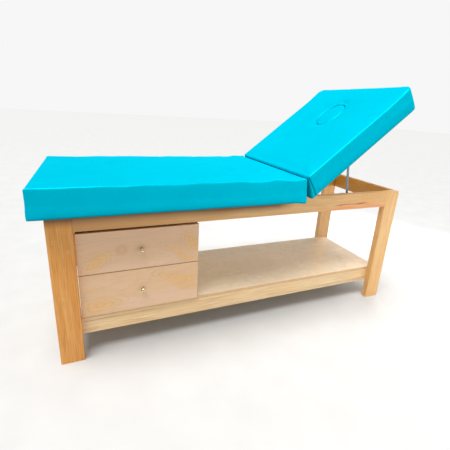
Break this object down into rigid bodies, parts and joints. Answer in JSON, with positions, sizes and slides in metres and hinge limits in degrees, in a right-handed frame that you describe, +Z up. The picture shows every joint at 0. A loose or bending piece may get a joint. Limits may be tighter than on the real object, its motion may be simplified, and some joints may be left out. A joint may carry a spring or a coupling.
{
  "type": "treatment couch",
  "caption": "Wooden treatment couch with padded top, lifting backrest on a support bail, face hole with plug, lower shelf and drawers.",
  "frame": {"origin": "on the floor, under the middle of the couch's outer box with the backrest raised", "axes": "+X along the couch to the head end, -Y to the drawer side, +Z up"},
  "size_m": [1.736, 0.678, 1.16],
  "materials": {
    "vinyl": "satin",
    "foam": "matte",
    "leg_wood": "satin",
    "apron_wood": "satin",
    "rail_wood": "satin",
    "plywood": "satin",
    "rack_wood": "matte",
    "steel": "satin",
    "zinc": "satin",
    "brass": "polished"
  },
  "bodies": {
    "frame": {"leg_foot_front": "leg_wood", "leg_foot_back": "leg_wood", "leg_head_front": "leg_wood", "leg_head_back": "leg_wood", "apron_front": "apron_wood", "apron_back": "apron_wood", "end_rail_foot": "apron_wood", "end_rail_head": "apron_wood", "cross_rail_hinge": "apron_wood", "cross_rail_middle": "apron_wood", "lower_rail_front": "rail_wood", "lower_rail_back": "rail_wood", "lower_rail_foot": "rail_wood", "lower_rail_head": "rail_wood", "lower_rail_screws": "zinc", "shelf_panel": "plywood", "rack_front": "rack_wood", "rack_back": "rack_wood", "cabinet_side_foot": "plywood", "cabinet_side_head": "plywood", "cabinet_back": "plywood", "upper_runners_fixed": "zinc", "lower_runners_fixed": "zinc", "foot_pad_board": "plywood", "foot_pad_foam": "foam", "foot_pad_cover": "vinyl", "hinge_leaves_fixed": "zinc", "hinge_pins": "zinc", "hinge_screws_fixed": "zinc"},
    "backrest": {"backrest_board": "plywood", "backrest_foam": "foam", "backrest_cover": "vinyl", "hinge_leaves_moving": "zinc", "hinge_screws_moving": "zinc", "bail_brackets": "steel", "bail_bracket_screws": "zinc"},
    "bail": {"support_bail": "steel"},
    "upper_drawer": {"upper_drawer_front": "plywood", "upper_drawer_side_foot": "plywood", "upper_drawer_side_head": "plywood", "upper_drawer_back": "plywood", "upper_drawer_bottom": "plywood", "upper_knob": "brass", "upper_knob_screw": "zinc", "upper_runners_moving": "zinc"},
    "lower_drawer": {"lower_drawer_front": "plywood", "lower_drawer_side_foot": "plywood", "lower_drawer_side_head": "plywood", "lower_drawer_back": "plywood", "lower_drawer_bottom": "plywood", "lower_knob": "brass", "lower_knob_screw": "zinc", "lower_runners_moving": "zinc"},
    "face_plug": {"face_plug_board": "plywood", "face_plug_foam": "foam", "face_plug_cover": "vinyl"}
  },
  "joints": [
    {"name": "backrest_hinge", "type": "hinge", "parent": "frame", "child": "backrest", "pos_m": [0.2245, 0, 0.6485], "axis": [0, -1, 0], "range_deg": [-38.2, 0]},
    {"name": "bail_swing", "type": "hinge", "parent": "backrest", "child": "bail", "pos_m": [0.50821, 0, 0.85394], "axis": [0, -1, 0], "range_deg": [0, 120]},
    {"name": "upper_drawer_slide", "type": "slide", "parent": "frame", "child": "upper_drawer", "axis": [0, -1, 0], "range_m": [0, 0.3]},
    {"name": "lower_drawer_slide", "type": "slide", "parent": "frame", "child": "lower_drawer", "axis": [0, -1, 0], "range_m": [0, 0.3]},
    {"name": "face_plug_lift", "type": "slide", "parent": "backrest", "child": "face_plug", "axis": [-0.6184, 0, 0.7859], "range_m": [0, 0.13]}
  ],
  "couplings": [
    {"joint": "bail_swing", "follows": "backrest_hinge", "ratio": -3.1387}
  ]
}
